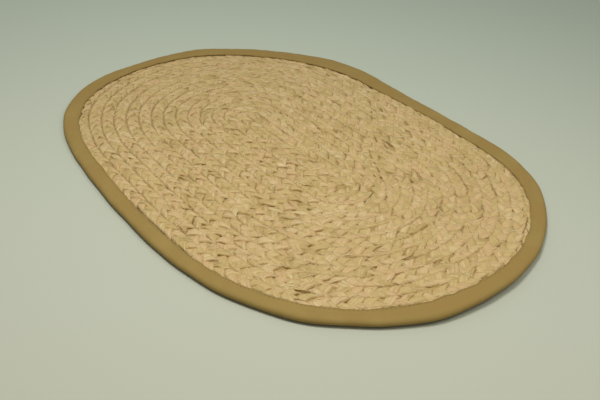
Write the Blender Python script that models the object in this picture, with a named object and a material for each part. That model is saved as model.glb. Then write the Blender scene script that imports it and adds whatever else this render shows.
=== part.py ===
"""Oval placemat: a flat plait of banana fiber wound in a spiral, its edge bound with folded cotton tape.

The mat lies in the XY plane with its underside on z = 0, its length along X, and its centre on the Z axis.
Sizes are in metres.
"""

import math
from collections import namedtuple

import bmesh
import bpy

# The whole mat
LENGTH = 0.480
WIDTH = 0.338
SIDE_BOW = 0.0005  # how far each long side bows out at its middle

# The plait
ROW_PITCH = 0.01136  # from one row of the spiral to the next
ROW_CREST = 0.0066
ROW_VALLEY = 0.0042
CORE_TOP = 0.0060  # where the first row folds back on itself
UNDER_VALLEY = 0.0012
SHOULDER_TOP = 0.0052  # where the outermost row dips towards the tape
SHOULDER_UNDER = 0.0006
SHOULDER_RUN = 0.0028
SHORTEST_FACE = 0.0020  # a row nearer than this to the core or the shoulder joins it

# The tape, folded over the edge
TAPE_WIDTH = 0.0138
TAPE_SWAY = 0.0006  # how much the width wanders as it was turned by hand
TAPE_SWAYS_ROUND = 7
TAPE_CLOTH = 0.0011  # the hem is turned under, so it is two layers
TAPE_HEIGHT = 0.0060
TAPE_NOSE = 0.0036  # how far in the rounded edge reaches
FOLD_BEVEL = 0.0004
GAP = 0.0003

# Steps round the oval, and round the nose of the edge
END_STEPS = 22
SIDE_STEPS = 8
NOSE_STEPS = 6
INNER_NOSE_STEPS = 4

# Where the edge swells or draws in: the bearing of its middle from the centre of the mat and its spread
# to either side, both in degrees, and how far out it goes, in metres.
Swell = namedtuple("Swell", "bearing spread out")
EDGE_SWELLS = (
    Swell(bearing=150, spread=12, out=-0.0015),
    Swell(bearing=125, spread=13, out=0.0028),
    Swell(bearing=55, spread=13, out=0.0030),
    Swell(bearing=0, spread=12, out=-0.0010),
    Swell(bearing=-30, spread=12, out=0.0015),
    Swell(bearing=-60, spread=12, out=-0.0022),
    Swell(bearing=-90, spread=14, out=0.0015),
    Swell(bearing=-120, spread=12, out=-0.0022),
    Swell(bearing=-150, spread=12, out=0.0037),
)

END_RADIUS = WIDTH / 2 - SIDE_BOW
CORE_HALF = LENGTH / 2 - END_RADIUS  # half the straight line that the spiral winds round
MID_HEIGHT = TAPE_HEIGHT / 2

# A place round the oval: a foot on the core line, the way outwards from it, the share of the turn that lies
# behind it, and how far the outer edge is from the foot.
Station = namedtuple("Station", "foot_x out_x out_y turn reach")


def swell_at(bearing):
    """How far the edge goes out at a bearing, in degrees from the centre of the mat."""
    total = 0.0
    for swell in EDGE_SWELLS:
        away = (bearing - swell.bearing + 180) % 360 - 180
        total += swell.out * math.exp(-0.5 * (away / swell.spread) ** 2)
    return total


def make_station(foot_x, angle, turn):
    """The station whose outward way is at an angle in degrees, anticlockwise from +X."""
    out_x, out_y = math.cos(math.radians(angle)), math.sin(math.radians(angle))
    bow = SIDE_BOW * math.cos(math.pi / 2 * foot_x / CORE_HALF)
    reach = END_RADIUS + bow
    bearing = math.degrees(math.atan2(reach * out_y, foot_x + reach * out_x))
    return Station(foot_x, out_x, out_y, turn, reach + swell_at(bearing))


def make_stations():
    """The stations in the order that the plait was wound: clockwise from the left end, seen from above."""
    half_end = END_STEPS // 2
    places = [(-CORE_HALF, 180 - 90 * i / half_end) for i in range(half_end)]
    places += [(CORE_HALF * (2 * i / SIDE_STEPS - 1), 90) for i in range(SIDE_STEPS)]
    places += [(CORE_HALF, 90 - 90 * i / half_end) for i in range(END_STEPS)]
    places += [(CORE_HALF * (1 - 2 * i / SIDE_STEPS), -90) for i in range(SIDE_STEPS)]
    places += [(-CORE_HALF, -90 - 90 * i / half_end) for i in range(half_end)]
    return [make_station(foot_x, angle, i / len(places)) for i, (foot_x, angle) in enumerate(places)]


def middle_of(stations):
    """The middle of the outline's box, which the mat is moved by to stand centred."""
    xs = [s.foot_x + s.reach * s.out_x for s in stations]
    ys = [s.reach * s.out_y for s in stations]
    return (min(xs) + max(xs)) / 2, (min(ys) + max(ys)) / 2


def tape_width(station):
    return TAPE_WIDTH + TAPE_SWAY * math.sin(2 * math.pi * TAPE_SWAYS_ROUND * station.turn)


class Shell:
    """A mesh under construction, in which points at the same place are one vertex."""

    def __init__(self, middle):
        self.mesh = bmesh.new()
        self.middle = middle
        self.found = {}

    def vertex(self, station, distance, height):
        """The vertex at a distance from the station's foot."""
        x = station.foot_x + distance * station.out_x - self.middle[0]
        y = distance * station.out_y - self.middle[1]
        key = (round(x, 6), round(y, 6), round(height, 6))
        if key not in self.found:
            self.found[key] = self.mesh.verts.new((x, y, height))
        return self.found[key]

    def face(self, corners):
        """A face round the corners, less those that fall on the one before."""
        apart = [corner for i, corner in enumerate(corners) if corner is not corners[i - 1]]
        if len(apart) > 2:
            self.mesh.faces.new(apart)

    def band(self, first, second):
        """The faces between two closed rings of vertices."""
        for i in range(len(first)):
            self.face((first[i - 1], first[i], second[i], second[i - 1]))

    def finish(self, name, material, sharp_angle):
        bmesh.ops.recalc_face_normals(self.mesh, faces=self.mesh.faces)
        data = bpy.data.meshes.new(name)
        self.mesh.to_mesh(data)
        self.mesh.free()
        data.shade_smooth()
        data.set_sharp_from_angle(angle=math.radians(sharp_angle))
        data.materials.append(material)
        obj = bpy.data.objects.new(name, data)
        bpy.context.scene.collection.objects.link(obj)
        return obj


def nose(inset, depth, half_height, steps):
    """Points of a rounded edge, from its top to its underside, as pairs of inset and height."""
    angles = [math.pi / 2 - math.pi * i / steps for i in range(steps + 1)]
    return [(inset + depth * (1 - math.cos(a)), MID_HEIGHT + half_height * math.sin(a)) for a in angles]


def row_place(line, station, shoulder, crest, valley, core, edge):
    """Where a line of the spiral crosses a station: its distance from the foot, and its height.

    Even lines are the valleys between rows and odd lines are the crests.
    """
    distance = ROW_PITCH * (line / 2 + station.turn)
    if distance < SHORTEST_FACE:
        return 0.0, core
    if distance > shoulder - SHORTEST_FACE:
        return shoulder, edge
    return distance, crest if line % 2 else valley


def add_rows(shell, stations, crest, valley, core, edge):
    """One side of the wound plait. A line that has gone once round goes on as the line two further out."""
    start_line = -2
    last_line = 2 * math.ceil(END_RADIUS / ROW_PITCH)
    count = len(stations)

    def point(line, step):
        line, step = (line + 2, 0) if step == count else (line, step)
        station = stations[step]
        shoulder = station.reach - tape_width(station) - GAP - SHOULDER_RUN
        return shell.vertex(station, *row_place(line, station, shoulder, crest, valley, core, edge))

    for line in range(start_line, last_line):
        for step in range(count):
            shell.face((point(line, step), point(line, step + 1), point(line + 1, step + 1), point(line + 1, step)))


def make_braid_mat(stations, middle, material):
    """The wound plait with a ridge for each row, pressed thin where the tape holds it."""
    shell = Shell(middle)
    add_rows(shell, stations, ROW_CREST, ROW_VALLEY, CORE_TOP, SHOULDER_TOP)
    add_rows(shell, stations, 0.0, UNDER_VALLEY, 0.0, SHOULDER_UNDER)

    inner = TAPE_CLOTH + GAP
    rim = nose(inner, TAPE_NOSE - inner + TAPE_CLOTH, MID_HEIGHT - inner, INNER_NOSE_STEPS)
    rings = []
    for extra, height in ((GAP + SHOULDER_RUN, SHOULDER_TOP), (2 * GAP, rim[0][1])):
        rings.append([shell.vertex(s, s.reach - tape_width(s) - extra, height) for s in stations])
    for inset, height in rim:
        rings.append([shell.vertex(s, s.reach - inset, height) for s in stations])
    for extra, height in ((2 * GAP, rim[-1][1]), (GAP + SHOULDER_RUN, SHOULDER_UNDER)):
        rings.append([shell.vertex(s, s.reach - tape_width(s) - extra, height) for s in stations])
    for first, second in zip(rings, rings[1:]):
        shell.band(first, second)
    return shell.finish("braid_mat", material, 60)


def make_edge_binding(stations, middle, material):
    """The tape: one closed ring of C-shaped section, flat underneath."""
    shell = Shell(middle)
    outer = nose(0.0, TAPE_NOSE, MID_HEIGHT, NOSE_STEPS)
    inner = nose(TAPE_CLOTH, TAPE_NOSE, MID_HEIGHT - TAPE_CLOTH, INNER_NOSE_STEPS)
    rings = []
    for inset, height in outer:
        rings.append([shell.vertex(s, s.reach - inset, height) for s in stations])
    for back, height in ((FOLD_BEVEL, 0.0), (0.0, FOLD_BEVEL), (0.0, TAPE_CLOTH)):
        rings.append([shell.vertex(s, s.reach - tape_width(s) + back, height) for s in stations])
    for inset, height in reversed(inner):
        rings.append([shell.vertex(s, s.reach - inset, height) for s in stations])
    for back, drop in ((0.0, TAPE_CLOTH), (0.0, FOLD_BEVEL), (FOLD_BEVEL, 0.0)):
        rings.append([shell.vertex(s, s.reach - tape_width(s) + back, TAPE_HEIGHT - drop) for s in stations])
    for first, second in zip(rings, rings[1:] + rings[:1]):
        shell.band(first, second)
    return shell.finish("edge_binding", material, 50)


def make_material(name, colour, roughness):
    material = bpy.data.materials.new(name)
    material.use_nodes = True
    shader = material.node_tree.nodes["Principled BSDF"]
    shader.inputs["Base Color"].default_value = (*colour, 1.0)
    shader.inputs["Roughness"].default_value = roughness
    shader.inputs["Metallic"].default_value = 0.0
    return material


def main():
    for obj in list(bpy.data.objects):
        bpy.data.objects.remove(obj, do_unlink=True)
    fiber = make_material("banana_fiber", (0.515, 0.366, 0.162), 0.70)
    cotton = make_material("cotton_tape", (0.305, 0.205, 0.061), 0.90)
    stations = make_stations()
    middle = middle_of(stations)
    make_braid_mat(stations, middle, fiber)
    make_edge_binding(stations, middle, cotton)


main()
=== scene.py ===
import math
from functools import partial

import bmesh
import bpy
from mathutils import Matrix, Vector


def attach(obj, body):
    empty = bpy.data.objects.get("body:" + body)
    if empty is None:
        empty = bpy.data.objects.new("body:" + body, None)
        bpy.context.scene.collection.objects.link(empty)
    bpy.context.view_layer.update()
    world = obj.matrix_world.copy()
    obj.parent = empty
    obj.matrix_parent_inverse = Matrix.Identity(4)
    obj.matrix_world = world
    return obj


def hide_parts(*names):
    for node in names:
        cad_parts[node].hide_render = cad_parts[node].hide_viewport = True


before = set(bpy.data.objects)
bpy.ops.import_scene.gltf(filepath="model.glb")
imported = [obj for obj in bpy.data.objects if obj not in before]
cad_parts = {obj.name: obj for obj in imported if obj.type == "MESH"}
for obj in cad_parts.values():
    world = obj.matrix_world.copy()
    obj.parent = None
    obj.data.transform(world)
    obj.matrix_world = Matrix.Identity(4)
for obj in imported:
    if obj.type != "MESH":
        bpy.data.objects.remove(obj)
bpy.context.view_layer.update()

# The outline, as the frame has it (metres and degrees)
outlineShape = {
    "length": 0.480,
    "width": 0.338,
    "sideBow": 0.0005,
    "endShare": 22 / 60,  # of one turn, spent on each round end
    "sideShare": 8 / 60,
    "points": 600,
    # bearing from the centre, spread to either side, how far out
    "swells": (
        (150, 12, -0.0015),
        (125, 13, 0.0028),
        (55, 13, 0.0030),
        (0, 12, -0.0010),
        (-30, 12, 0.0015),
        (-60, 12, -0.0022),
        (-90, 14, 0.0015),
        (-120, 12, -0.0022),
        (-150, 12, 0.0037),
    ),
}
endRadius = outlineShape["width"] / 2 - outlineShape["sideBow"]
coreHalf = outlineShape["length"] / 2 - endRadius


def swellAt(bearing):
    total = 0.0
    for middle, spread, out in outlineShape["swells"]:
        away = (bearing - middle + 180) % 360 - 180
        total += out * math.exp(-0.5 * (away / spread) ** 2)
    return total


def stationAt(turn):
    # At a share of one clockwise turn from the left end: the foot on the core line, the way outwards,
    # and how far out the edge is without its swell, and the swell
    quarter, side = outlineShape["endShare"] / 2, outlineShape["sideShare"]
    turn %= 1.0
    if turn < quarter:
        footX, angle = -coreHalf, 180 - 90 * turn / quarter
    elif turn < quarter + side:
        footX, angle = coreHalf * (2 * (turn - quarter) / side - 1), 90
    elif turn < 3 * quarter + side:
        footX, angle = coreHalf, 90 - 90 * (turn - quarter - side) / quarter
    elif turn < 3 * quarter + 2 * side:
        footX, angle = coreHalf * (1 - 2 * (turn - 3 * quarter - side) / side), -90
    else:
        footX, angle = -coreHalf, -90 - 90 * (turn - 3 * quarter - 2 * side) / quarter
    way = Vector((math.cos(math.radians(angle)), math.sin(math.radians(angle)), 0))
    reach = endRadius + outlineShape["sideBow"] * math.cos(math.pi / 2 * footX / coreHalf)
    bearing = math.degrees(math.atan2(reach * way.y, footX + reach * way.x))
    return Vector((footX, 0, 0)), way, reach, swellAt(bearing)


def outlinePoints():
    points = []
    for i in range(outlineShape["points"]):
        foot, way, reach, swell = stationAt(i / outlineShape["points"])
        points.append(foot + way * (reach + swell))
    return points


edgePoints = outlinePoints()
middle = Vector((
    (min(p.x for p in edgePoints) + max(p.x for p in edgePoints)) / 2,
    (min(p.y for p in edgePoints) + max(p.y for p in edgePoints)) / 2,
    0,
))
edgePoints = [p - middle for p in edgePoints]


def newObject(name, data):
    obj = bpy.data.objects.new(name, data)
    bpy.context.scene.collection.objects.link(obj)
    return obj


def lineMesh(name, points, closed=False, values=None):
    mesh = bpy.data.meshes.new(name)
    edges = [(i, i + 1) for i in range(len(points) - 1)]
    if closed:
        edges.append((len(points) - 1, 0))
    mesh.from_pydata([tuple(p) for p in points], edges, [])
    for attribute, numbers in (values or {}).items():
        mesh.attributes.new(attribute, "FLOAT", "POINT").data.foreach_set("value", numbers)
    return newObject(name, mesh)


def setInputs(tree, node, inputs):
    # Each input gets a value, or a link from a socket or from a node's first output
    for key, value in inputs.items():
        if isinstance(value, bpy.types.Node):
            value = value.outputs[0]
        if isinstance(value, bpy.types.NodeSocket):
            tree.links.new(value, node.inputs[key])
        else:
            node.inputs[key].default_value = value


def addNode(tree, kind, inputs=None, **settings):
    node = tree.nodes.new(kind)
    for name, value in settings.items():
        setattr(node, name, value)
    setInputs(tree, node, inputs or {})
    return node


# Short names for the nodes that come up most, and for settings that several nodes share
calc, vec, remap = "ShaderNodeMath", "ShaderNodeVectorMath", "ShaderNodeMapRange"
split, join, noise = "ShaderNodeSeparateXYZ", "ShaderNodeCombineXYZ", "ShaderNodeTexNoise"
sampleCurve, heldValue = "GeometryNodeSampleCurve", "GeometryNodeInputNamedAttribute"
byFactor = {"mode": "FACTOR", "use_all_curves": True}
times, timesPlus, less = [{"operation": words} for words in ("MULTIPLY", "MULTIPLY_ADD", "SUBTRACT")]
eased = {"interpolation_type": "SMOOTHSTEP"}
up = (0, 0, 1)
weldWithin = 0.000002


def newTree(name, objects="", floats="", ints=""):
    # Its inputs are named as the keys that feed them. Comes back with what adds a node, and its inputs
    tree = bpy.data.node_groups.new(name, "GeometryNodeTree")
    tree.interface.new_socket("geometry", in_out="INPUT", socket_type="NodeSocketGeometry")
    for kind, words in (("Object", objects), ("Float", floats), ("Int", ints), ("Material", "material")):
        for word in words.split():
            tree.interface.new_socket(word, in_out="INPUT", socket_type="NodeSocket" + kind)
    tree.interface.new_socket("geometry", in_out="OUTPUT", socket_type="NodeSocketGeometry")
    add = partial(addNode, tree)
    return tree, add, add("NodeGroupInput").outputs


def endTree(add, g, geometry):
    realized = add("GeometryNodeRealizeInstances", {0: geometry})
    finished = add("GeometryNodeSetMaterial", {0: realized, "Material": g["material"]})
    add("NodeGroupOutput", {0: finished})


def fromOutline(add, g, place, attribute):
    # How far a place is from the outline, and what the outline holds nearest to it
    outline = add("GeometryNodeObjectInfo", {0: g["outline"]}).outputs["Geometry"]
    toEdge = add("GeometryNodeProximity", {0: outline, "Sample Position": place}, target_element="EDGES")
    nearest = add("GeometryNodeSampleNearest", {0: outline, "Sample Position": place}, domain="POINT")
    held = add(heldValue, {"Name": attribute})
    held = add("GeometryNodeSampleIndex", {0: outline, "Value": held, "Index": nearest})
    return toEdge.outputs["Distance"], held


def joinedPieces(tree, add, sockets):
    joined = add("GeometryNodeJoinGeometry")
    for socket in sockets:
        part = add("GeometryNodeObjectInfo", {0: socket})
        tree.links.new(part.outputs["Geometry"], joined.inputs[0])
    return joined


def tubeAlong(add, line, sides, radius):
    ring = add("GeometryNodeCurvePrimitiveCircle", {"Resolution": sides, "Radius": radius})
    return add("GeometryNodeCurveToMesh", {"Curve": line, "Profile Curve": ring, "Fill Caps": True})


def acrossFrom(add, tangent):
    # Level, and square to a line
    across = add(vec, {0: tangent, 1: up}, operation="CROSS_PRODUCT")
    return add(vec, {0: across}, operation="NORMALIZE")


def startRoll(add, g):
    # A grid to roll up round a line: its curve and length, and each point's share along it and round it
    curve = add("GeometryNodeMeshToCurve", {0: g["geometry"]})
    total = add("GeometryNodeCurveLength", {0: curve})
    grid = add("GeometryNodeMeshGrid", {
        "Size X": 1.0, "Size Y": 1.0, "Vertices X": g["steps"], "Vertices Y": g["around"]})
    flat = add(split, {0: add("GeometryNodeInputPosition")})
    share = add(calc, {0: flat.outputs[0], 1: 0.5}, operation="ADD")
    return curve, total, grid, share, flat.outputs[1]


def endRoll(add, g, grid, uv, values, place, height):
    # Stores the map and the values, puts the points in place and joins the long edges
    grid = add("GeometryNodeStoreNamedAttribute", {
        0: grid, "Name": "UVMap", "Value": uv}, data_type="FLOAT2", domain="CORNER")
    for name, value in values.items():
        grid = add("GeometryNodeStoreNamedAttribute", {0: grid, "Name": name, "Value": value})
    placeXY = add(split, {0: place})
    final = add(join, {0: placeXY.outputs[0], 1: placeXY.outputs[1], 2: height})
    placed = add("GeometryNodeSetPosition", {0: grid, "Position": final})
    closed = add("GeometryNodeMergeByDistance", {0: placed, "Distance": weldWithin})
    endTree(add, g, add("GeometryNodeSetShadeSmooth", {0: closed}))


def grow(base, tree, values, name):
    # Runs a tree on a base object, fed with the values that it asks for, and keeps a plain mesh object
    modifier = base.modifiers.new(name, "NODES")
    modifier.node_group = tree
    for item in tree.interface.items_tree:
        if item.item_type == "SOCKET" and item.in_out == "INPUT" and item.name in values:
            modifier[item.identifier] = values[item.name]
    base.update_tag()
    bpy.context.view_layer.update()
    evaluated = base.evaluated_get(bpy.context.evaluated_depsgraph_get())
    mesh = bpy.data.meshes.new_from_object(evaluated)
    base.modifiers.remove(modifier)
    mesh.name = name
    mesh.materials.clear()
    mesh.materials.append(values["material"])
    mesh.polygons.foreach_set("material_index", [0] * len(mesh.polygons))
    tidy = bmesh.new()
    tidy.from_mesh(mesh)
    bmesh.ops.recalc_face_normals(tidy, faces=tidy.faces)
    tidy.to_mesh(mesh)
    tidy.free()
    print(name, "has", sum(len(p.vertices) - 2 for p in mesh.polygons), "triangles")
    return newObject(name, mesh)


# Where the rim stands off the table: share of the turn from the left end, spread either side, and how high
rimLift = {
    "places": ((0.49, 0.035, 0.0026), (0.58, 0.070, 0.0010), (0.72, 0.060, 0.0004)),
    "reach": 0.085,  # how far in from the edge it still lifts
    "fade": 2.2,  # 1 for an even slope, more for a lift that stays near the edge
}


def addedUp(places, turn):
    # What the places add up to at a share of the turn, each fading to both sides of its middle
    total = 0.0
    for place, spread, amount in places:
        away = (turn - place + 0.5) % 1.0 - 0.5
        total += amount * math.exp(-0.5 * (away / spread) ** 2)
    return total


def liftTree():
    tree, add, g = newTree("rimLift", objects="outline", floats="reach fade")
    flat = add(vec, {0: add("GeometryNodeInputPosition"), 1: (1, 1, 0)}, **times)
    toEdge, high = fromOutline(add, g, flat, "rimHigh")
    fade = add(calc, {0: toEdge, 1: g["reach"]}, operation="DIVIDE")
    fade = add(calc, {0: 1.0, 1: fade}, **less)
    fade = add(calc, {0: fade, 1: 0.0}, operation="MAXIMUM")
    fade = add(calc, {0: fade, 1: g["fade"]}, operation="POWER")
    lift = add(calc, {0: high, 1: fade}, **times)
    moved = add("GeometryNodeSetPosition", {0: g["geometry"], "Offset": add(join, {2: lift})})
    endTree(add, g, moved)
    return tree


def linear(hexColour):
    channels = [int(hexColour[i:i + 2], 16) / 255 for i in (0, 2, 4)]
    return [c / 12.92 if c <= 0.04045 else ((c + 0.055) / 1.055) ** 2.4 for c in channels] + [1.0]


# The cotton tape folded over the edge
tape = {
    "width": 0.0138,
    # Turned by hand, the top side of the fold reaches further in or less far here: share of the turn from the
    # left end, spread of it either side, and how much
    "wideTop": 0.0135,
    "wider": ((0.14, 0.075, 0.0120), (0.33, 0.03, 0.0068), (0.95, 0.05, 0.0038), (0.70, 0.04, -0.0020)),
    # and its rim stands outside the outline here, or inside it
    "rimOut": (
        (0.53, 0.022, 0.0032), (0.71, 0.03, 0.0018), (0.38, 0.02, 0.0018), (0.024, 0.018, 0.0030),
        (0.985, 0.024, -0.0032), (0.08, 0.03, -0.0018), (0.20, 0.03, -0.0010), (0.33, 0.015, -0.0014),
    ),
    "height": 0.0058,
    "nose": 0.0036,
    "cloth": 0.0006,
    "hem": 0.0011,  # two layers where the edge of the tape is turned under
    "hemWidth": 0.0050,
    "hemStep": 0.001,  # the turned layer thins out over this length
    "hemBack": 0.0014,
    "bevel": 0.0003,
    "lip": 0.0001,
    "sides": (0.002, 0.004),  # heights between which the underside gives way to the top
    "lumpSides": (0.002, 0.005),
    "steps": 1000,
    "around": 40,
    "underLoss": -0.6,  # the underside loses this share of what the top gains in reach
    "sway": 0.0009,  # how far its inner edge wanders
    "swayRun": 0.012,
    "kinks": 0.0008,  # how far its rim wanders
    "kinkRun": 0.040,
    "bumps": 0.00022,  # it lies over the lumps of the plait
    "bumpScale": 110.0,  # of them to the metre
}


def tapeWideAt(turn):
    return tape["wideTop"] + addedUp(tape["wider"], turn)


# The plait: three strips that fold over at the edges of their row and dive under each other in its middle,
# wound in a spiral and sewn row to row
plait = {
    "rowPitch": 0.01136,
    "firstTurn": 0.68,  # where the first run starts, at the right end of the core
    "stopShort": 0.0085,  # the last turn ends this far inside the outline, under the tape
    "pathStep": 0.002,
    "pitch": 0.0315,  # one strip from edge to edge of its row and back
    "angle": 41.0,  # degrees between a strip and its row
    "foldAt": 0.00500,  # from the middle of the row
    "spread": 1.065,  # above 1, so that a strip stays at the fold while it comes up
    "straight": 0.08,
    "lift": 0.00120,
    "steep": 1.35,
    "early": 0.10,
    "stripWidth": 0.0083,
    "stripThick": 0.0024,
    "flatness": 0.50,  # 1 for a lens, 0 for a plank
    "tuck": 0.8,  # share of its lift that the edge of a strip loses, where it hugs the strip below
    "lean": 0.045,  # how far each fold lies over the one before
    "driftRun": 0.080,  # the pitch is uneven over this length
    "driftMost": 1.8,  # radians
    "flatEnd": 0.50,  # share of its lift that a strip loses at the left end
    "fullEnd": -0.30,  # below nought, how much more uneven and wide the folds are at the right end
    "midHeight": 0.0032,
    "pressRun": 0.0045,  # the length over which it dips
    "pressIn": 0.0015,  # it starts to dip this far under the tape
    "pressShare": 0.66,
    "slipRun": 0.017,  # each strip slips by itself over this length
    "slipMost": 1.9,  # radians
    "ownRun": 0.011,  # and changes its fold, width, thickness, lean and height over this one
    "ownWidth": 0.7,
    "ownThick": 0.8,
    "ownLean": 0.55,
    "ownRise": 0.0018,
    "ridgeRun": 0.009,  # the ridges of fibre in its surface
    "ridges": 2.4,
    "ridgeRange": (0.66, 1.34),
    "tip": 0.005,  # it closes to a point over this length
    "lookAhead": 0.12,  # radians
    "lowest": 0.0001,
    # of x + endsSlant * y: the rows lie flattest to the left of endsFrom, and stand fullest right of endsTo
    "endsFrom": -0.18,
    "endsTo": 0.11,
    "endsSlant": 0.35,
    "uneven": (-1.2, 0.9),  # how unlike the folds are: what the lost lift changes, and the rest
    "drawnIn": -0.15,  # the change of the fold's reach with the lost lift
    "tuckPower": 8.0,  # the tuck stays this near to the edge of the strip
    "steps": 8200,
    "around": 13,
}


def plaitPath():
    # The middle of the row, from the core to under the tape
    points, turn = [], plait["firstTurn"]
    while True:
        foot, way, reach, swell = stationAt(turn)
        plain = plait["rowPitch"] * (turn - 0.5)
        distance = plain + swell * (plain / reach) ** 2
        if distance > reach + swell - plait["stopShort"]:
            return points
        points.append(foot + way * distance - middle)
        turn += plait["pathStep"] / (4 * coreHalf + 2 * math.pi * max(distance, 0.002))


def foldedAt(add, g, phase, middlePhase):
    # Where a strip is in its row: how far from the middle, and how high
    swing = add(calc, {0: phase}, operation="COSINE")
    thrice = add(calc, {0: phase, 1: 3.0}, **times)
    thrice = add(calc, {0: thrice}, operation="COSINE")
    wave = add(calc, {0: thrice, 1: g["straight"], 2: swing}, **timesPlus)
    wave = add(calc, {0: wave, 1: g["spread"]}, **times)
    wave = add(remap, {0: wave, 1: -1.0, 2: 1.0, 3: -1.0, 4: 1.0})
    # the fold runs along the row, the dive runs across the strip
    atFold = add(calc, {0: swing, 1: 2.0}, operation="POWER")
    apart = add(calc, {0: phase, 1: middlePhase}, **less)
    heavePhase = add(calc, {0: apart, 1: atFold, 2: middlePhase}, **timesPlus)
    twice = add(calc, {0: heavePhase, 1: 2.0, 2: g["early"]}, **timesPlus)
    heave = add(calc, {0: twice}, operation="SINE")
    heave = add(calc, {0: heave, 1: g["steep"]}, **times)
    heave = add(remap, {0: heave, 1: -1.0, 2: 1.0, 3: -1.0, 4: 1.0})
    return add(join, {0: wave, 1: heave})


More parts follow.
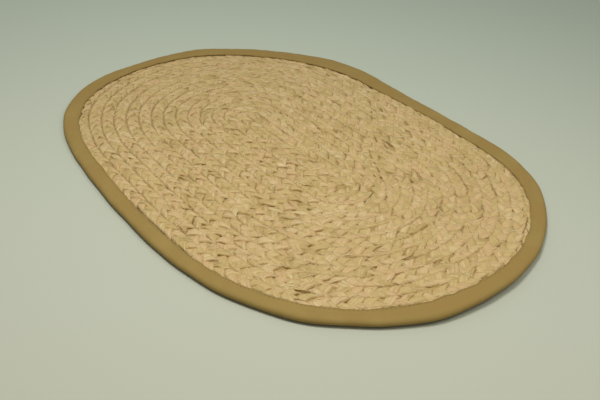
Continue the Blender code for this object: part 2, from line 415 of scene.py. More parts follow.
def plaitTree():
    tree, add, g = newTree(
        "plaitStrip", objects="outline", ints="steps around",
        floats="pitch foldAt spread straight lift steep early stripWidth stripThick flatness lean tuck slant"
        " across driftRun driftMost flatEnd fullEnd midHeight pressRun pressIn pressShare phase seed")
    curve, total, grid, share, roundAt = startRoll(add, g)
    turned = add(calc, {0: roundAt, 1: 2 * math.pi}, **times)
    along = add(calc, {0: share, 1: total}, **times)

    # Slow drift that all three strips share, then what each does by itself
    driftAt = add(calc, {0: along, 1: g["driftRun"]}, operation="DIVIDE")
    drift = add(noise, {"W": driftAt, "Scale": 1.0, "Detail": 1.0}, noise_dimensions="1D")
    drift = add(calc, {0: drift, 1: 0.5}, **less)
    drift = add(calc, {0: drift, 1: 2.0}, **times)
    phase = add(calc, {0: along, 1: g["pitch"]}, operation="DIVIDE")
    phase = add(calc, {0: phase, 1: 2 * math.pi, 2: g["phase"]}, **timesPlus)
    phase = add(calc, {0: drift, 1: g["driftMost"], 2: phase}, **timesPlus)
    slipAt = add(calc, {0: along, 1: 1 / plait["slipRun"], 2: g["seed"]}, **timesPlus)
    slip = add(noise, {"W": slipAt, "Scale": 1.0, "Detail": 0.0}, noise_dimensions="1D")
    slip = add(calc, {0: slip, 1: 0.5}, **less)
    phase = add(calc, {0: slip, 1: plait["slipMost"], 2: phase}, **timesPlus)
    ownAt = add(calc, {0: along, 1: 1 / plait["ownRun"], 2: g["seed"]}, **timesPlus)
    own = add(noise, {"W": ownAt, "Scale": 1.0, "Detail": 1.0}, noise_dimensions="1D")
    own = add(vec, {0: own.outputs["Color"], 1: (0.5, 0.5, 0.5)}, **less)
    own = add(split, {0: own})

    # The strip's section, a flat lens with ridges of fibre, that closes to a point at both ends
    fromEnd = add(calc, {0: total, 1: along}, **less)
    fromEnd = add(calc, {0: fromEnd, 1: along}, operation="MINIMUM")
    tip = add(remap, {0: fromEnd, 1: 0.0, 2: plait["tip"], 3: 0.0, 4: 1.0}, **eased)
    cosRound = add(calc, {0: turned}, operation="COSINE")
    sinRound = add(calc, {0: turned}, operation="SINE")
    ridgeAlong = add(calc, {0: along, 1: 1 / plait["ridgeRun"], 2: g["seed"]}, **timesPlus)
    ridgeAt = add(join, {0: cosRound, 1: sinRound, 2: ridgeAlong})
    ridge = add(noise, {"Vector": ridgeAt, "Scale": plait["ridges"], "Detail": 1.0})
    least, most = plait["ridgeRange"]
    ridge = add(remap, {0: ridge, 1: 0.2, 2: 0.8, 3: least, 4: most})
    ridge = add(calc, {0: ridge, 1: tip}, **times)
    halves = []
    for axis, most, size in ((1, "ownWidth", "stripWidth"), (2, "ownThick", "stripThick")):
        half = add(calc, {0: own.outputs[axis], 1: plait[most], 2: 1.0}, **timesPlus)
        half = add(calc, {0: half, 1: g[size]}, **times)
        halves.append(add(calc, {0: half, 1: 0.5}, **times))
    fuller = add(calc, {0: sinRound}, operation="ABSOLUTE")
    fuller = add(calc, {0: fuller, 1: g["flatness"]}, operation="POWER")
    side = add(calc, {0: sinRound}, operation="SIGN")
    fuller = add(calc, {0: fuller, 1: side}, **times)
    wide = add(calc, {0: halves[0], 1: cosRound}, **times)
    wide = add(calc, {0: wide, 1: tip}, **times)
    thick = add(calc, {0: halves[1], 1: fuller}, **times)
    thick = add(calc, {0: thick, 1: ridge}, **times)

    # The strip lies slanted over its row: a point towards its edge is further back along the row
    back = add(calc, {0: wide, 1: g["slant"]}, operation="DIVIDE")
    rowAt = add(calc, {0: along, 1: back}, **less)
    row = add(sampleCurve, {0: curve, "Length": rowAt}, mode="LENGTH", use_all_curves=True)
    across = acrossFrom(add, row.outputs["Tangent"])
    middlePhase = add(calc, {0: wide, 1: g["across"]}, **times)
    middlePhase = add(calc, {0: phase, 1: middlePhase}, **less)

    # Its place a little before and a little after give the way that its face looks
    around = []
    for nudge in (-plait["lookAhead"], plait["lookAhead"]):
        nudged = add(calc, {0: phase, 1: nudge}, operation="ADD")
        middleNudged = add(calc, {0: middlePhase, 1: nudge}, operation="ADD")
        around.append(foldedAt(add, g, nudged, middleNudged))
    # towards the left end the rows lie flatter and further apart, towards the right they run into each other
    rowXY = add(split, {0: row.outputs["Position"]})
    towardsRight = add(calc, {
        0: rowXY.outputs[1], 1: plait["endsSlant"], 2: rowXY.outputs[0]}, **timesPlus)
    flatter = add(remap, {
        0: towardsRight, 1: plait["endsFrom"], 2: plait["endsTo"], 3: g["flatEnd"], 4: g["fullEnd"]}, **eased)
    change, kept = plait["uneven"]
    uneven = add(calc, {0: flatter, 1: change, 2: kept}, **timesPlus)
    foldNow = add(calc, {0: own.outputs[0], 1: uneven, 2: 1.0}, **timesPlus)
    drawnIn = add(calc, {0: flatter, 1: plait["drawnIn"]}, **times)
    foldNow = add(calc, {0: foldNow, 1: drawnIn}, operation="ADD")
    foldNow = add(calc, {0: foldNow, 1: g["foldAt"]}, **times)
    lower = add(calc, {0: flatter, 1: 0.0}, operation="MAXIMUM")
    liftNow = add(calc, {0: 1.0, 1: lower}, **less)
    liftNow = add(calc, {0: liftNow, 1: g["lift"]}, **times)
    reach = add(join, {0: foldNow, 1: liftNow})
    before = add(vec, {0: around[0], 1: reach}, **times)
    after = add(vec, {0: around[1], 1: reach}, **times)
    centre = add(vec, {0: before, 1: after}, operation="ADD")
    centre = add(vec, {0: centre, "Scale": 0.5}, operation="SCALE")
    going = add(vec, {0: after, 1: before}, **less)
    tucked = add(calc, {0: cosRound}, operation="ABSOLUTE")
    tucked = add(calc, {0: tucked, 1: plait["tuckPower"]}, operation="POWER")
    tucked = add(calc, {0: tucked, 1: g["tuck"]}, **times)
    tucked = add(calc, {0: 1.0, 1: tucked}, **less)
    tucked = add(join, {0: 1.0, 1: tucked})
    centre = add(vec, {0: centre, 1: tucked}, **times)
    facing = add(vec, {0: up, 1: going}, operation="CROSS_PRODUCT")
    facing = add(vec, {0: facing}, operation="NORMALIZE")
    facingUp = add(split, {0: facing})
    lean = add(calc, {0: own.outputs[1], 1: plait["ownLean"], 2: g["lean"]}, **timesPlus)
    lean = add(calc, {0: lean, 1: facingUp.outputs[1]}, **times)
    thick = add(calc, {0: wide, 1: lean, 2: thick}, **timesPlus)
    skin = add(vec, {0: facing, "Scale": thick}, operation="SCALE")
    skin = add(vec, {0: skin, 1: centre}, operation="ADD")
    skin = add(split, {0: skin})
    rise = add(calc, {0: own.outputs[2], 1: plait["ownRise"], 2: skin.outputs[1]}, **timesPlus)

    out = add(vec, {0: across, "Scale": skin.outputs[0]}, operation="SCALE")
    place = add(vec, {0: row.outputs["Position"], 1: out}, operation="ADD")
    toEdge, pressAt = fromOutline(add, g, place, "tapeWide")
    pressAt = add(calc, {0: pressAt, 1: g["pressIn"]}, **less)
    pressEnd = add(calc, {0: pressAt, 1: g["pressRun"]}, operation="ADD")
    press = add(remap, {
        0: toEdge, 1: pressAt, 2: pressEnd, 3: g["pressShare"], 4: 1.0}, **eased)
    rise = add(calc, {0: rise, 1: press, 2: g["midHeight"]}, **timesPlus)
    rise = add(calc, {0: rise, 1: plait["lowest"]}, operation="MAXIMUM")

    uvSize = add(join, {0: total, 1: 1.0, 2: 1.0})
    uv = add(vec, {0: grid.outputs["UV Map"], 1: uvSize}, **times)
    uv = add(vec, {0: uv, 1: add(join, {0: g["seed"]})}, operation="ADD")
    lobe = add(calc, {0: phase, 1: 1 / math.pi, 2: 0.25}, **timesPlus)
    lobe = add(calc, {0: lobe}, operation="FLOOR")
    lobe = add(calc, {0: lobe, 1: g["seed"]}, operation="ADD")
    tone = add("ShaderNodeTexWhiteNoise", {"W": lobe}, noise_dimensions="1D")
    inside = add(calc, {0: toEdge, 1: pressAt}, **less)
    endRoll(add, g, grid, uv, {"lobeTone": tone, "insideTape": inside}, place, rise)
    return tree


def newMaterial(name):
    # The material, what adds a node to it, and what sets its surface
    material = bpy.data.materials.new(name)
    material.use_nodes = True
    tree = material.node_tree
    return material, partial(addNode, tree), partial(setInputs, tree, tree.nodes["Principled BSDF"])


def ramp(add, value, stops):
    node = add("ShaderNodeValToRGB", {0: value})
    elements = node.color_ramp.elements
    for i, (place, colour) in enumerate(stops):
        element = elements[i] if i < 2 else elements.new(place)
        element.position, element.color = place, linear(colour)
    return node


# Banana fibre, split from the stalk, dried and plaited: straw to tan strips with darker threads along them,
# a slight gloss along the grain, and no two lengths quite the same tone
fibreLook = {
    "tones": ((0.0, "C1A465"), (0.28, "CAAE6F"), (0.52, "CEB175"), (0.76, "CFAD75"), (1.0, "D4B981")),
    "streakDarkAndCreaseShade": "94723C",
    "streakLight": "F0DAA8",
    # Painted shade in the pits: its colour, the depths from the middle of the thickness where it starts and
    # is darkest, and its most
    "pitShade": "8A6A34",
    "pitShadeDepths": (0.0018, 0.0004),  # from the middle of the thickness: where it starts, and is darkest
    "pitShadeMost": 0.22,
    "patch": 0.035,  # metres, the tone drifts over this length
    "patchShare": 0.9,
    "ribbon": 0.0026,  # metres, the narrow lengths of fibre that make up a strip
    # Creases between the ribbons: how wide, and how much painted shade they get
    "creaseWidth": 0.02,
    "creaseShade": 0.35,
    "streak": 0.0009,  # metres, wider than the real 0.2 mm fibres so that they show
    "darkStreaks": 0.38,
    "lightStreaks": 0.6,
    "roughness": (0.44, 0.76),
    "sheen": 0.08,
    "bump": 0.00022,
    "crumple": 0.0024,  # metres, the puckers of a strip that was folded when damp
    "crumpleDeep": 0.0008,
}


def fibreMaterial():
    material, add, surface = newMaterial("driedBananaFibrePlaited")
    mix = {"data_type": "RGBA"}
    uv = add("ShaderNodeUVMap", uv_map="UVMap")
    here = add("ShaderNodeTexCoord").outputs["Object"]
    tone = add("ShaderNodeAttribute", attribute_name="lobeTone")
    drift = add(noise, {"Vector": here, "Scale": 1 / fibreLook["patch"], "Detail": 2.0})
    driftOff = add(calc, {0: drift, 1: 0.5}, **less)
    toneNow = add(calc, {
        0: driftOff, 1: fibreLook["patchShare"], 2: tone.outputs["Fac"]}, **timesPlus)
    base = ramp(add, toneNow, fibreLook["tones"])

    # round a strip is about 18 mm, so across it the map is stretched to real metres too
    broadMap = add("ShaderNodeMapping", {"Vector": uv, "Scale": (0.055, 0.018, 1.0)})
    broad = add(noise, {
        "Vector": broadMap, "Scale": 1 / fibreLook["ribbon"], "Detail": 1.0, "Distortion": 0.1})
    fineMap = add("ShaderNodeMapping", {"Vector": uv, "Scale": (0.05, 0.018, 1.0)})
    streaks = add(noise, {
        "Vector": fineMap, "Scale": 1 / fibreLook["streak"], "Detail": 3.0, "Roughness": 0.6,
        "Distortion": 0.15})
    # The creases between the ribbons get painted shade in the colour of the dark streaks; the streaks
    # themselves are darker fibre
    offHalf = add(calc, {0: broad, 1: 0.5}, **less)
    offHalf = add(calc, {0: offHalf}, operation="ABSOLUTE")
    crease = add(remap, {0: offHalf, 1: 0.0, 2: fibreLook["creaseWidth"], 3: 1.0, 4: 0.0})
    darkShare = add(remap, {0: streaks, 1: 0.54, 2: 0.78, 3: 0.0, 4: fibreLook["darkStreaks"]})
    darkShare = add(calc, {0: crease, 1: fibreLook["creaseShade"], 2: darkShare}, **timesPlus)
    withDark = add("ShaderNodeMix", {0: darkShare, 6: base, 7: linear(fibreLook["streakDarkAndCreaseShade"])}, **mix)
    lightShare = add(remap, {0: streaks, 1: 0.46, 2: 0.26, 3: 0.0, 4: fibreLook["lightStreaks"]})
    withLight = add("ShaderNodeMix", {
        0: lightShare, 6: withDark.outputs[2], 7: linear(fibreLook["streakLight"])}, **mix)

    # painted shade towards the middle of the thickness, where the light doesn't reach
    depth = add(split, {0: here})
    fromMid = add(calc, {0: depth.outputs[2], 1: plait["midHeight"]}, **less)
    fromMid = add(calc, {0: fromMid}, operation="ABSOLUTE")
    outside, inside = fibreLook["pitShadeDepths"]
    pitShadeShare = add(remap, {0: fromMid, 1: outside, 2: inside, 3: 0.0, 4: fibreLook["pitShadeMost"]})
    colour = add("ShaderNodeMix", {0: pitShadeShare, 6: withLight.outputs[2], 7: linear(fibreLook["pitShade"])}, **mix)

    low, high = fibreLook["roughness"]
    rough = add(remap, {0: streaks, 1: 0.3, 2: 0.7, 3: low, 4: high})
    relief = add(calc, {0: crease, 1: -0.8, 2: streaks}, **timesPlus)
    bump = add("ShaderNodeBump", {"Height": relief, "Strength": 0.6, "Distance": fibreLook["bump"]})
    crumple = add(noise, {"Vector": here, "Scale": 1 / fibreLook["crumple"], "Detail": 1.5})
    bump = add("ShaderNodeBump", {
        "Height": crumple, "Strength": 0.6, "Distance": fibreLook["crumpleDeep"], "Normal": bump})
    surface({
        "Base Color": colour.outputs[2], "Roughness": rough, "Normal": bump,
        "Sheen Weight": fibreLook["sheen"]})
    return material


fibre = fibreMaterial()
print("banana fibre material made")

turns = [i / len(edgePoints) for i in range(len(edgePoints))]
outlineLine = lineMesh("outlineLine", edgePoints, closed=True, values={
    "tapeWide": [tapeWideAt(turn) for turn in turns],
    "rimHigh": [addedUp(rimLift["places"], turn) for turn in turns],
    "rimOut": [addedUp(tape["rimOut"], turn) for turn in turns],
})
pathLine = lineMesh("plaitPath", plaitPath())
stripTree = plaitTree()
slant = math.radians(plait["angle"])
across = 2 * math.pi * math.cos(slant) / (plait["pitch"] * math.tan(slant))
strips = []
for i, name in enumerate(("plaitStripA", "plaitStripB", "plaitStripC")):
    strips.append(grow(pathLine, stripTree, dict(
        plait, outline=outlineLine, material=fibre, slant=math.sin(slant), across=across,
        phase=2 * math.pi * i / 3, seed=40.0 * (i + 1)), name))

# What shows in the pits of the plait: the flattened fibre in the middle of its thickness
# The fibre material lays its painted shade darkest at the height of this sheet
heart = {
    "inset": 0.0052,  # from the outline, inside the fold of the tape
    "low": 0.0026,
    "high": 0.0036,
    "ridge": 0.0002,
    "core": 0.0044,  # it is fuller where the first row folds back on itself
    "rings": 16,
    "ringPower": 1.6,  # they lie closer towards the middle
    "thinPower": 24,  # it thins to nought only close to its edge
    "waveRing": 0.37,  # turns of the wave from ring to ring
    "waveRound": 0.11,
    "round": 240,
}


def makeHeart(material):
    mesh = bmesh.new()
    layers = {}
    for side in (1, -1):
        for ring in range(1, heart["rings"] + 1):
            for i in range(heart["round"]):
                foot, way, reach, swell = stationAt(i / heart["round"])
                share = (ring / heart["rings"]) ** heart["ringPower"]
                place = foot + way * (reach + swell - heart["inset"]) * share - middle
                thin = 1 - share ** heart["thinPower"]
                top = heart["core"] if ring < 2 else heart["high"]
                turns = ring * heart["waveRing"] + i * heart["waveRound"]
                wave = heart["ridge"] * math.sin(2 * math.pi * turns) * thin
                half = (top - heart["low"]) / 2
                place.z = (top + heart["low"]) / 2 + side * (half * thin + wave)
                if ring == heart["rings"] and side < 0:
                    layers[side, ring, i] = layers[1, ring, i]
                else:
                    layers[side, ring, i] = mesh.verts.new(place)
    for side in (1, -1):
        for i in range(heart["round"]):
            j = (i + 1) % heart["round"]
            for ring in range(1, heart["rings"]):
                corners = ((ring, i), (ring, j), (ring + 1, j), (ring + 1, i))
                mesh.faces.new([layers[(side, *corner)] for corner in corners])
        # across the core line, where the first ring closes
        mesh.faces.new([layers[side, 1, i] for i in range(heart["round"])])
    bmesh.ops.recalc_face_normals(mesh, faces=mesh.faces)
    data = bpy.data.meshes.new("plaitHeart")
    mesh.to_mesh(data)
    mesh.free()
    data.shade_smooth()
    data.materials.append(material)
    print("plaitHeart made in", heart["rings"], "rings")
    return newObject("plaitHeart", data)


heartPiece = makeHeart(fibre)


def tapeSection():
    # Inset from the outline and height, once round the section: from the top fold edge outwards,
    # round the nose, along the underside and back inside
    high, half, nose, bevel = tape["height"], tape["height"] / 2, tape["nose"], tape["bevel"]
    width, cloth, hem, hemAt = tape["width"], tape["cloth"], tape["hem"], tape["width"] - tape["hemWidth"]
    foldEnd, flatEnd, hemStart = width - 4 * bevel, (width + nose) / 2, hemAt - tape["hemStep"]
    outer = [(width - bevel, high - tape["lip"]), (foldEnd, high), (hemAt, high), (flatEnd, high)]
    for i in range(9):
        angle = math.pi / 2 - math.pi * i / 8
        outer.append((nose * (1 - math.cos(angle)), half + half * math.sin(angle)))
    outer += [(flatEnd, 0), (hemAt, 0), (foldEnd, 0), (width - bevel, tape["lip"])]
    hemEnd = width - tape["hemBack"]
    inner = [(width, hem / 2), (width - bevel, hem), (hemEnd, hem), (hemAt, hem), (hemStart, cloth)]
    for i in range(7):
        angle = -math.pi / 2 + math.pi * i / 6
        inset = cloth + (nose - cloth) * (1 - math.cos(angle))
        inner.append((inset, half + (half - cloth) * math.sin(angle)))
    inner += [(hemStart, high - cloth), (hemAt, high - hem), (hemEnd, high - hem)]
    inner += [(width - bevel, high - hem), (width, high - hem / 2)]
    return [Vector((inset, height, 0)) for inset, height in outer + inner]


def tapeTree():
    tree, add, g = newTree(
        "foldedTape", objects="section", ints="steps around", floats="width nose sway kinks bumps")
    curve, total, grid, share, roundAt = startRoll(add, g)
    roundShare = add(calc, {0: roundAt, 1: 0.5}, operation="ADD")
    section = add("GeometryNodeObjectInfo", {0: g["section"]})
    sectionCurve = add("GeometryNodeMeshToCurve", {0: section.outputs["Geometry"]})
    sectionTotal = add("GeometryNodeCurveLength", {0: sectionCurve})
    edge = add(sampleCurve, {0: curve, "Factor": share}, **byFactor)
    section = add(sampleCurve, {0: sectionCurve, "Factor": roundShare}, **byFactor)
    cutAt = add(split, {0: section.outputs["Position"]})
    inwards = acrossFrom(add, edge.outputs["Tangent"])
    held = {}
    for name in ("tapeWide", "rimOut"):
        held[name] = add(heldValue, {"Name": name})
        held[name] = add(sampleCurve, {0: curve, "Value": held[name], "Factor": share}, **byFactor)

    # How far in it reaches changes along the edge: what the top gains, the underside loses
    gain = add(calc, {0: held["tapeWide"], 1: g["width"]}, **less)
    low, high = tape["sides"]
    upper = add(remap, {0: cutAt.outputs[1], 1: low, 2: high, 3: tape["underLoss"], 4: 1.0}, **eased)
    gain = add(calc, {0: gain, 1: upper}, **times)
    wanderAt = add(vec, {0: edge.outputs["Position"], "Scale": 1 / tape["swayRun"]}, operation="SCALE")
    wander = add(noise, {"Vector": wanderAt, "W": upper, "Scale": 1.0, "Detail": 1.0}, noise_dimensions="4D")
    wander = add(calc, {0: wander, 1: 0.5}, **less)
    wander = add(calc, {0: wander, 1: g["sway"]}, **times)
    gain = add(calc, {0: wander, 1: 4.0, 2: gain}, **timesPlus)
    reachIn = add(remap, {0: cutAt.outputs[0], 1: g["nose"], 2: g["width"], 3: 0.0, 4: 1.0}, clamp=False)
    reachIn = add(calc, {0: reachIn, 1: 0.0}, operation="MAXIMUM")
    inset = add(calc, {0: gain, 1: reachIn, 2: cutAt.outputs[0]}, **timesPlus)
    kinks = add(noise, {"Vector": edge.outputs["Position"], "Scale": 1 / tape["kinkRun"], "Detail": 0.0})
    kinks = add(calc, {0: kinks, 1: 0.5}, **less)
    outer = add(remap, {0: cutAt.outputs[0], 1: g["nose"], 2: g["width"], 3: 4.0, 4: 0.0})
    kinks = add(calc, {0: kinks, 1: outer}, **times)
    inset = add(calc, {0: kinks, 1: g["kinks"], 2: inset}, **timesPlus)
    rimIn = add(calc, {0: held["rimOut"], 1: -0.25}, **times)
    inset = add(calc, {0: rimIn, 1: outer, 2: inset}, **timesPlus)
    step = add(vec, {0: inwards, "Scale": inset}, operation="SCALE")
    place = add(vec, {0: edge.outputs["Position"], 1: step}, operation="ADD")

    # It lies over the lumps of the plait
    lumps = add(noise, {"Vector": place, "Scale": tape["bumpScale"], "Detail": 1.0})
    lumps = add(calc, {0: lumps, 1: 0.5}, **less)
    lumps = add(calc, {0: lumps, 1: g["bumps"]}, **times)
    lumps = add(calc, {0: lumps, 1: 4.0}, **times)
    low, high = tape["lumpSides"]
    upper = add(remap, {0: cutAt.outputs[1], 1: low, 2: high, 3: 0.0, 4: 1.0}, **eased)
    lumps = add(calc, {0: lumps, 1: upper}, **times)
    height = add(calc, {0: cutAt.outputs[1], 1: lumps}, operation="ADD")
    uvSize = add(join, {0: total, 1: sectionTotal, 2: 1.0})
    uv = add(vec, {0: grid.outputs["UV Map"], 1: uvSize}, **times)
    endRoll(add, g, grid, uv, {}, place, height)
    return tree


# Cotton tape, plain woven, dyed khaki and cut on the bias: matt, fine threads crossing at a slant to the
# edge, a little paler in places, where it is rubbed
cottonLook = {
    "colour": "9F8343",
    "thread": "8B7035",
    "rubbed": "AA8F4E",
    "aged": "9E7E40",
    "weave": 0.0008,  # metres from thread to thread, about twice the real spacing so that it shows
    "patch": 0.030,
    "roughness": 0.9,
    "bump": 0.00006,
}


def cottonMaterial():
    material, add, surface = newMaterial("wovenCottonTapeKhaki")
    mix = {"data_type": "RGBA"}
    uv = add("ShaderNodeUVMap", uv_map="UVMap")
    here = add("ShaderNodeTexCoord").outputs["Object"]
    onBias = add("ShaderNodeMapping", {"Vector": uv, "Rotation": (0, 0, math.radians(45))})
    apart = add(split, {0: onBias})
    turns = 2 * math.pi / cottonLook["weave"]
    warp, weft = [add(calc, {0: axis, 1: turns}, **times) for axis in apart.outputs[:2]]
    warp, weft = [add(calc, {0: thread}, operation="SINE") for thread in (warp, weft)]
    weave = add(calc, {0: warp, 1: weft}, **times)
    slub = add(noise, {"Vector": uv, "Scale": 900.0, "Detail": 2.0})
    cloud = add(noise, {"Vector": here, "Scale": 1 / cottonLook["patch"], "Detail": 3.0})
    threadShare = add(remap, {0: weave, 1: -1.0, 2: 1.0, 3: 0.45, 4: 0.0})
    woven = add("ShaderNodeMix", {
        0: threadShare, 6: linear(cottonLook["colour"]), 7: linear(cottonLook["thread"])}, **mix)
    rubShare = add(remap, {0: cloud, 1: 0.45, 2: 0.75, 3: 0.0, 4: 0.5})
    colour = add("ShaderNodeMix", {0: rubShare, 6: woven.outputs[2], 7: linear(cottonLook["rubbed"])}, **mix)
    agedShare = add(remap, {0: cloud, 1: 0.50, 2: 0.30, 3: 0.0, 4: 0.8})
    colour = add("ShaderNodeMix", {0: agedShare, 6: colour.outputs[2], 7: linear(cottonLook["aged"])}, **mix)
    height = add(calc, {0: slub, 1: 0.6, 2: weave}, **timesPlus)
    bump = add("ShaderNodeBump", {"Height": height, "Strength": 0.5, "Distance": cottonLook["bump"]})
    rough = add(remap, {
        0: slub, 1: 0.3, 2: 0.7, 3: cottonLook["roughness"] - 0.08, 4: cottonLook["roughness"]})
    surface({"Base Color": colour.outputs[2], "Roughness": rough, "Normal": bump})
    return material


cotton = cottonMaterial()
print("cotton tape material made")

sectionLine = lineMesh("tapeSection", tapeSection(), closed=True)
edgeTape = grow(outlineLine, tapeTree(), dict(tape, section=sectionLine, material=cotton), "edgeTape")


def threadTree():
    # A thread laid along a line and over whatever lies there, from side to side or up and down through it
    tree, add, g = newTree(
        "sewnThread", objects="overA overB overC", ints="sides",
        floats="step offset aside zigzag dip stitch radius lowest")
    curve = add("GeometryNodeMeshToCurve", {0: g["geometry"]})
    curve = add("GeometryNodeResampleCurve", {0: curve, "Length": g["step"]}, mode="LENGTH")
    along = add("GeometryNodeSplineParameter").outputs["Length"]
    across = acrossFrom(add, add("GeometryNodeInputTangent"))
    half = add(calc, {0: g["zigzag"], 1: 0.5}, **times)
    zigzag = add(calc, {0: along, 1: half}, operation="PINGPONG")
    zigzag = add(remap, {0: zigzag, 1: 0.0, 2: half, 3: -1.0, 4: 1.0})
    aside = add(calc, {0: zigzag, 1: g["aside"], 2: g["offset"]}, **timesPlus)
    here = add("GeometryNodeInputPosition")
    step = add(vec, {0: across, "Scale": aside}, operation="SCALE")
    place = add(vec, {0: here, 1: step}, operation="ADD")
    above = add(vec, {0: place, 1: (0, 0, 0.02)}, operation="ADD")
    under = joinedPieces(tree, add, (g["overA"], g["overB"], g["overC"]))
    ray = add("GeometryNodeRaycast", {
        "Target Geometry": under, "Source Position": above, "Ray Direction": (0, 0, -1), "Ray Length": 0.03})
    top = add(split, {0: ray.outputs["Hit Position"]})
    top = add(calc, {0: top.outputs[2], 1: g["lowest"]}, operation="MAXIMUM")
    stitch = add(calc, {0: along, 1: g["stitch"]}, operation="DIVIDE")
    stitch = add(calc, {0: stitch, 1: 2 * math.pi}, **times)
    stitch = add(calc, {0: stitch}, operation="COSINE")
    top = add(calc, {0: stitch, 1: g["dip"], 2: top}, **timesPlus)
    flat = add(split, {0: place})
    final = add(join, {0: flat.outputs[0], 1: flat.outputs[1], 2: top})
    laid = add("GeometryNodeSetPosition", {0: curve, "Position": final})
    smooth = add("GeometryNodeSetShadeSmooth", {0: tubeAlong(add, laid, g["sides"], g["radius"])})
    endTree(add, g, smooth)
    return tree


# The zigzag of thread that joins each row to the one inside it
rowSewing = {
    "aside": 0.0014,  # to either side of the groove
    "zigzag": 0.0062,
    "step": 0.0008,
    "offset": plait["rowPitch"] / 2,
    "dip": 0.0,
    "stitch": 1.0,
    "radius": 0.00013,
    "sides": 4,
    "lowest": 0.0046,
    "colour": "CDB57F",
    "shade": "A98C50",
    "twist": 0.0012,  # metres for one turn of the plies
}
# The running stitches along the inner edge of the tape
tapeSewing = {
    "inset": 0.0018,  # from the inner edge of the tape
    "stitch": 0.0032,
    "step": 0.00045,
    "dip": 0.00022,
    "aside": 0.0,
    "offset": 0.0,
    "zigzag": 1.0,
    "radius": 0.00015,
    "sides": 5,
    "lowest": 0.0050,
    "colour": "A88D50",
    "shade": "80672F",
    "twist": 0.0012,
}


def threadMaterial(name, sewing):
    # Spun cotton: matt, with the slant bands of its plies
    material, add, surface = newMaterial(name)
    here = add("ShaderNodeTexCoord").outputs["Object"]
    plies = add("ShaderNodeTexWave", {
        "Vector": here, "Scale": 1 / sewing["twist"], "Distortion": 2.0}, bands_direction="DIAGONAL")
    # The darker bands are painted shade in the grooves between the plies, where the bump is low
    tone = ramp(add, plies, ((0.0, sewing["shade"]), (0.6, sewing["colour"])))
    bump = add("ShaderNodeBump", {"Height": plies, "Strength": 0.4, "Distance": 0.00005})
    surface({"Base Color": tone, "Roughness": 0.85, "Normal": bump})
    return material


stitchPoints = []
for turn in turns:
    foot, way, reach, swell = stationAt(turn)
    stitchPoints.append(foot + way * (reach + swell - tapeWideAt(turn) + tapeSewing["inset"]) - middle)
stitchLine = lineMesh("stitchLine", stitchPoints, closed=True)
sewn = threadTree()
rowStitching = grow(pathLine, sewn, dict(
    rowSewing, material=threadMaterial("spunCottonThreadNatural", rowSewing),
    overA=strips[0], overB=strips[1], overC=strips[2]), "rowStitching")
tapeStitching = grow(stitchLine, sewn, dict(
    tapeSewing, material=threadMaterial("spunCottonThreadKhaki", tapeSewing),
    overA=edgeTape, overB=edgeTape, overC=edgeTape), "tapeStitching")

# Split ends of fibre that stand out from the plait
loose = {
    "perArea": 16000.0,  # to the square metre
    "lowest": 0.0047,
    "clear": 0.0060,  # inside the place where the plait starts to dip under the tape
    "upright": 0.7,  # only where the plait faces up
    "long": 0.0070,
    "radius": 0.00015,
    "tilt": 0.12,  # radians, from lying level
    "sizes": (0.4, 1.3),
    "seed": 11,
    # of the three shapes: how far the middle is aside and up, and how far up the end is
    "bends": ((0.0012, 0.0005, 0.0002), (-0.0008, 0.0003, 0.0008), (0.0003, 0.0010, 0.0004)),
    "pale": "F0E0B2",
    "brown": "9C7A45",
}


def looseTree():
    tree, add, g = newTree(
        "looseFibres", objects="stripA stripB stripC", ints="seed", floats="perArea lowest long clear radius")
    plaited = joinedPieces(tree, add, (g["stripA"], g["stripB"], g["stripC"]))
    facing = add(split, {0: add("GeometryNodeInputNormal")})
    here = add(split, {0: add("GeometryNodeInputPosition")})
    inside = add(heldValue, {"Name": "insideTape"})
    allowed = 1.0
    limits = ((facing.outputs[2], loose["upright"]), (here.outputs[2], g["lowest"]), (inside, g["clear"]))
    for value, least in limits:
        over = add(calc, {0: value, 1: least}, operation="GREATER_THAN")
        allowed = add(calc, {0: over, 1: allowed}, **times)
    points = add("GeometryNodeDistributePointsOnFaces", {
        "Mesh": plaited, "Selection": allowed, "Density": g["perArea"], "Seed": g["seed"]})
    tone = add("FunctionNodeRandomValue", {"Seed": g["seed"]}, data_type="FLOAT")
    points = add("GeometryNodeStoreNamedAttribute", {
        0: points, "Name": "fibreTone", "Value": tone.outputs[1]})
    half = add(calc, {0: g["long"], 1: 0.5}, **times)
    minus = add(calc, {0: half, 1: -1.0}, **times)
    shapes = add("GeometryNodeJoinGeometry")
    for aside, rise, end in loose["bends"]:
        first = add(join, {0: minus})
        last = add(join, {0: half, 2: end})
        line = add("GeometryNodeCurveQuadraticBezier", {
            "Resolution": 5, "Start": first, "Middle": (0, aside, rise), "End": last})
        instance = add("GeometryNodeGeometryToInstance", {0: tubeAlong(add, line, 3, g["radius"])})
        tree.links.new(instance.outputs[0], shapes.inputs[0])
    tilt = loose["tilt"]
    turned = add("FunctionNodeRandomValue", {
        0: (-tilt, -tilt, 0.0), 1: (tilt, tilt, 6.28), "Seed": g["seed"]}, data_type="FLOAT_VECTOR")
    least, most = loose["sizes"]
    scaled = add("FunctionNodeRandomValue", {2: least, 3: most, "Seed": g["seed"]}, data_type="FLOAT")
    chosen = add("FunctionNodeRandomValue", {4: 0, 5: 2, "Seed": g["seed"]}, data_type="INT")
    placed = add("GeometryNodeInstanceOnPoints", {
        "Points": points, "Instance": shapes, "Pick Instance": True, "Instance Index": chosen.outputs[2],
        "Rotation": turned.outputs[0], "Scale": scaled.outputs[1]})
    endTree(add, g, placed)
    return tree


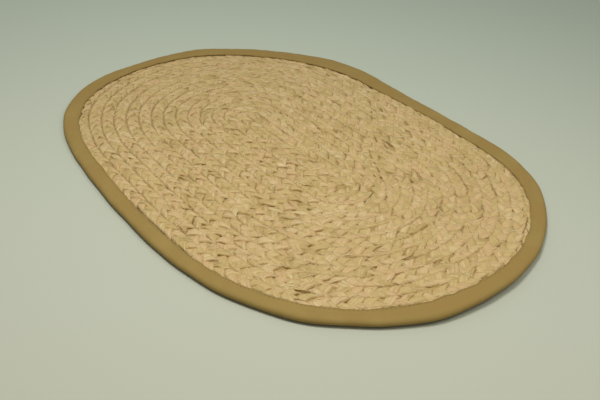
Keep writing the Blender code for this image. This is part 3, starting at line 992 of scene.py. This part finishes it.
def looseMaterial():
    # Single fibres split from the strips: paler or browner than what they lie on, thin and dull
    material, add, surface = newMaterial("driedBananaFibreSplitEnds")
    tone = add("ShaderNodeAttribute", attribute_name="fibreTone")
    here = add("ShaderNodeTexCoord").outputs["Object"]
    mottle = add(noise, {"Vector": here, "Scale": 700.0})
    value = add(calc, {0: mottle, 1: 0.3, 2: tone.outputs["Fac"]}, **timesPlus)
    colour = ramp(add, value, ((0.15, loose["brown"]), (0.8, loose["pale"])))
    bump = add("ShaderNodeBump", {"Height": mottle, "Strength": 0.3, "Distance": 0.00005})
    surface({"Base Color": colour, "Roughness": 0.8, "Normal": bump})
    return material


looseFibres = grow(pathLine, looseTree(), dict(
    loose, stripA=strips[0], stripB=strips[1], stripC=strips[2], material=looseMaterial()), "looseFibres")

# All of it rises with the rim
settle = liftTree()
settled = {}
for piece in strips + [heartPiece, edgeTape, rowStitching, tapeStitching, looseFibres]:
    name = piece.name
    piece.name = name + "Flat"
    settled[name] = grow(
        piece, settle, dict(rimLift, outline=outlineLine, material=piece.data.materials[0]), name)
    bpy.data.objects.remove(piece)
strips = [settled["plaitStrip" + letter] for letter in "ABC"]
heartPiece, edgeTape = settled["plaitHeart"], settled["edgeTape"]
rowStitching, tapeStitching = settled["rowStitching"], settled["tapeStitching"]
looseFibres = settled["looseFibres"]

for piece in strips + [heartPiece, rowStitching, looseFibres]:
    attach(piece, "root")
    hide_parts("braid_mat")
for piece in (edgeTape, tapeStitching):
    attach(piece, "root")
    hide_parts("edge_binding")
for line in (outlineLine, pathLine, sectionLine, stitchLine):
    bpy.data.objects.remove(line)

# The camera, where the photograph was taken from
view = {
    "place": (0.4819, -0.3697, 0.3515),
    "target": (0.0660, -0.0378, 0.0),
    "turn": 3.6,  # degrees about its own line of sight
    "lens": 46.68,
}


def addCamera():
    data = bpy.data.cameras.new("viewCamera")
    data.lens, data.sensor_width, data.clip_start = view["lens"], 36.0, 0.01
    camera = newObject("viewCamera", data)
    sight = Vector(view["target"]) - Vector(view["place"])
    turned = sight.to_track_quat("-Z", "Y").to_matrix() @ Matrix.Rotation(math.radians(view["turn"]), 3, "Z")
    camera.matrix_world = Matrix.Translation(view["place"]) @ turned.to_4x4()
    bpy.context.scene.camera = camera


# Studio: a pale floor and soft light from above the near side
studio = {
    # The floor is painted lighter and greener away from the camera: painted light
    "floorNear": "BFC0AB",
    "floorFar": "C4CFBB",
    "floorSize": 4.0,
    "world": 0.27,
    "worldTint": "F4F8F4",
    "key": {"place": (0.08, -0.21, 0.76), "size": 0.24, "power": 3.42},
    "side": {"place": (0.47, 0.12, 0.62), "size": 0.30, "power": 1.2},
    "back": {"place": (-0.9, 0.15, 0.9), "size": 0.8, "power": 1.0},
}


def addStudio():
    half = studio["floorSize"] / 2
    mesh = bpy.data.meshes.new("studioFloor")
    corners = [(-half, -half, 0), (half, -half, 0), (half, half, 0), (-half, half, 0)]
    mesh.from_pydata(corners, [], [(0, 1, 2, 3)])
    floor = newObject("studioFloor", mesh)
    paint, add, surface = newMaterial("paleFloorPainted")
    here = add("ShaderNodeTexCoord").outputs["Object"]
    # Painted light: the colour runs from floorNear to floorFar away from the camera
    turned = add("ShaderNodeMapping", {"Vector": here, "Rotation": (0, 0, math.radians(-52))})
    apart = add(split, {0: turned})
    share = add(remap, {0: apart.outputs[1], 1: -0.3, 2: 0.5, 3: 0.0, 4: 1.0})
    colour = ramp(add, share, ((0.0, studio["floorNear"]), (1.0, studio["floorFar"])))
    surface({"Base Color": colour, "Roughness": 0.7})
    mesh.materials.append(paint)
    world = bpy.data.worlds.new("softRoom")
    world.use_nodes = True
    world.node_tree.nodes["Background"].inputs["Color"].default_value = linear(studio["worldTint"])
    world.node_tree.nodes["Background"].inputs["Strength"].default_value = studio["world"]
    bpy.context.scene.world = world
    for name in ("key", "side", "back"):
        data = bpy.data.lights.new(name + "Light", "AREA")
        data.size, data.energy = studio[name]["size"], studio[name]["power"]
        place = Vector(studio[name]["place"])
        turned = (-place).to_track_quat("-Z", "Y").to_matrix().to_4x4()
        newObject(name + "Light", data).matrix_world = Matrix.Translation(place) @ turned


addCamera()
addStudio()
print("camera and studio in place")
bpy.context.scene.view_settings.view_transform = "Standard"
